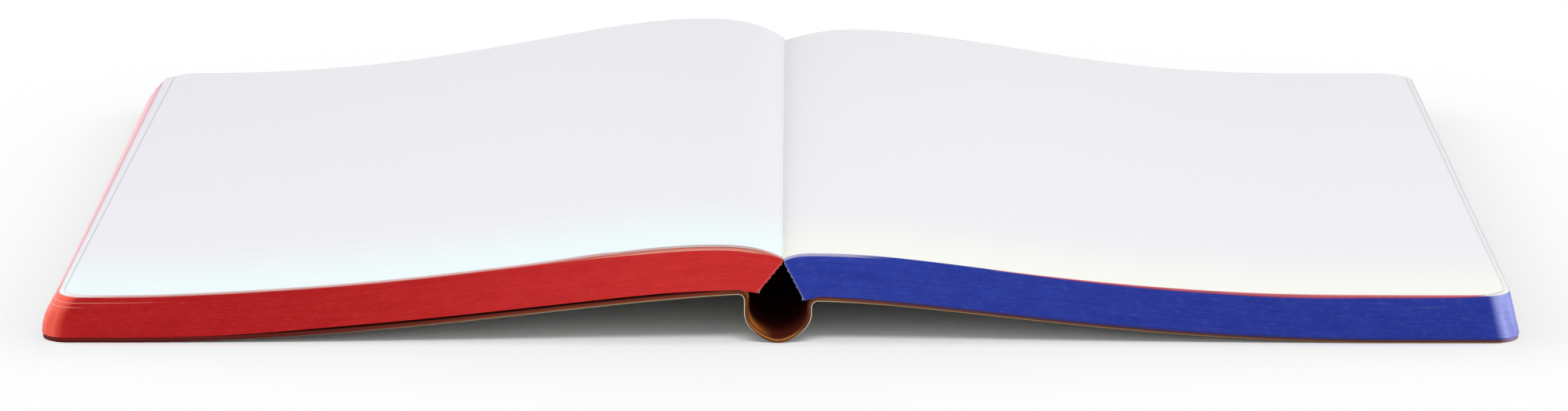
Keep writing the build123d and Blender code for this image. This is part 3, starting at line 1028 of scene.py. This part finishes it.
def seenRay(tree):  # 1 for what the camera sees, also in gloss and through glass
    path = addNode(tree, "LightPath")
    seen = path.outputs["Is Camera Ray"]
    for ray in ("Is Glossy Ray", "Is Transmission Ray"):
        seen = addNode(tree, "Math", {0: seen, 1: path.outputs[ray]}, operation="MAXIMUM")
    return seen


# White table: real shadows under the book, a faint grey halo where the book is near, white further off
tableSettings = {
    # open is the lit floor under the book, tinted a little cool so that its shadows show a painted cool tint
    "radius": 14.0, "drop": 0.04, "corners": 96, "bounce": "#E2E2E2", "open": "#FAFCFD",
    "halo": 0.184, "sideHalo": 0.27,  # share of light lost before the foot edge and beside the fore-edges
    "nearby": 90.0, "skySamples": 16,  # mm round a spot in which the book takes light from it
    "clear": (0.75, 0.95),  # open share of the sky from which no shadow is drawn
    "blend": 4.0,  # mm from the shadows to the halo at the book's edge
    "inSide": 6.0,  # mm, the sides show no shadow of their own
}
bpy.ops.mesh.primitive_circle_add(
    vertices=tableSettings["corners"], radius=tableSettings["radius"], fill_type="NGON",
)
table = bpy.context.object
table.name = "tableTop"
table.location.z = -tableSettings["drop"] * mm
tableMaterial, tree = newMaterial("paintedTable")
spot = addNode(tree, "TexCoord").outputs["Object"]
openSky = addNode(
    tree, "AmbientOcclusion", {"Distance": tableSettings["nearby"] * mm}, samples=tableSettings["skySamples"],
).outputs["AO"]
covered = addNode(tree, "Math", {0: 1.0, 1: openSky}, operation="SUBTRACT")
dimmed = addNode(tree, "Math", {0: covered}, operation="SQRT")
fromMiddle = addNode(tree, "VectorMath", {0: spot}, operation="ABSOLUTE")
inSide = tableSettings["inSide"] * mm
pastShade = addNode(
    tree, "VectorMath", {0: fromMiddle, 1: (cadBox[1][0] - inSide, cadBox[1][1], 0)}, operation="SUBTRACT",
)
unshaded = addNode(tree, "VectorMath", {0: pastShade, 1: (0, 0, 0)}, operation="MAXIMUM")
offShade = addNode(tree, "VectorMath", {0: unshaded}, operation="LENGTH")
beside = addNode(tree, "SeparateXYZ", {"Vector": unshaded}).outputs["X"]
clearLow, clearHigh = tableSettings["clear"]
smooth = {"interpolation_type": "SMOOTHSTEP"}
loss = addNode(
    tree, "MapRange", {
        "Value": beside, "From Max": inSide,
        "To Min": -tableSettings["halo"], "To Max": -tableSettings["sideHalo"],
    }, **smooth,
)
haloLight = addNode(tree, "Math", {0: dimmed, 1: loss, 2: 1.0}, operation="MULTIPLY_ADD")
farOff = addNode(tree, "MapRange", {"Value": offShade, "From Max": tableSettings["blend"] * mm}, **smooth)
clear = addNode(tree, "MapRange", {"Value": openSky, "From Min": clearLow, "From Max": clearHigh}, **smooth)
noShadow = addNode(tree, "Math", {0: farOff, 1: clear}, operation="MAXIMUM")
matt = addNode(tree, "BsdfDiffuse", {"Color": srgb(tableSettings["bounce"])})
openLight = addNode(tree, "BsdfDiffuse", {"Color": srgb(tableSettings["open"])})
plain = addNode(tree, "Emission", {"Color": (1, 1, 1, 1), "Strength": haloLight})
shown = addNode(tree, "MixShader", {0: noShadow, 1: openLight, 2: plain})
both = addNode(tree, "MixShader", {0: seenRay(tree), 1: matt, 2: shown})
addNode(tree, "OutputMaterial", {"Surface": both})
table.data.materials.append(tableMaterial)

# Soft studio light: even white surround, a broad lamp above, side lamps for the corners and a low front lamp
worldSettings = {"glow": 0.36, "white": 1.0}  # strength as light, and as seen
world = bpy.data.worlds.new("studioSurround")
scene.world = world
world.use_nodes = True
tree = world.node_tree
tree.nodes.clear()
glow, white = [
    addNode(tree, "Background", {"Color": (1, 1, 1, 1), "Strength": worldSettings[key]}) for key in ("glow", "white")
]
backdrop = addNode(tree, "MixShader", {0: seenRay(tree), 1: glow, 2: white})
addNode(tree, "OutputWorld", {"Surface": backdrop})

lampSettings = {  # metres, watts
    "overhead": {"spot": (0.1, 0.1, 1.5), "aim": (0, 0, 0), "size": (1.8, 1.4), "power": 5.4},
    "frontSoft": {"spot": (0.1, -0.95, 1.5), "aim": (0, -0.1, 0), "size": (1.4, 0.5), "power": 14.0},
    "rightStrip": {"spot": (1.05, -0.1, 0.25), "aim": (0.1, -0.1, 0.05), "size": (1.4, 0.45), "power": 5.0},
    "leftStrip": {"spot": (-1.05, -0.1, 0.25), "aim": (-0.1, -0.1, 0.05), "size": (1.4, 0.45), "power": 5.4},
}
for lampName, look in lampSettings.items():
    light = bpy.data.lights.new(lampName, "AREA")
    light.shape = "RECTANGLE"
    light.size, light.size_y = look["size"]
    light.energy = look["power"]
    lamp = bpy.data.objects.new(lampName, light)
    scene.collection.objects.link(lamp)
    lamp.location = look["spot"]
    aim = Vector(look["spot"]) - Vector(look["aim"])
    lamp.rotation_euler = aim.to_track_quat("Z", "Y").to_euler()
    lamp.visible_camera = False
print("lights set")

# Camera as the photograph was taken, for an image of 2000 by 524
cameraSettings = {
    "spot": (0.00308, -1.3433, 0.3542), "pitch": 75.37, "turn": 0.1057, "lens": 129.67, "sensor": 36.0,
    "clip": (0.05, 60),
}
camera = bpy.data.objects.new("camera", bpy.data.cameras.new("camera"))
scene.collection.objects.link(camera)
camera.location = cameraSettings["spot"]
camera.rotation_euler = (math.radians(cameraSettings["pitch"]), 0, math.radians(cameraSettings["turn"]))
camera.data.lens = cameraSettings["lens"]
camera.data.sensor_width = cameraSettings["sensor"]
camera.data.clip_start, camera.data.clip_end = cameraSettings["clip"]
scene.camera = camera
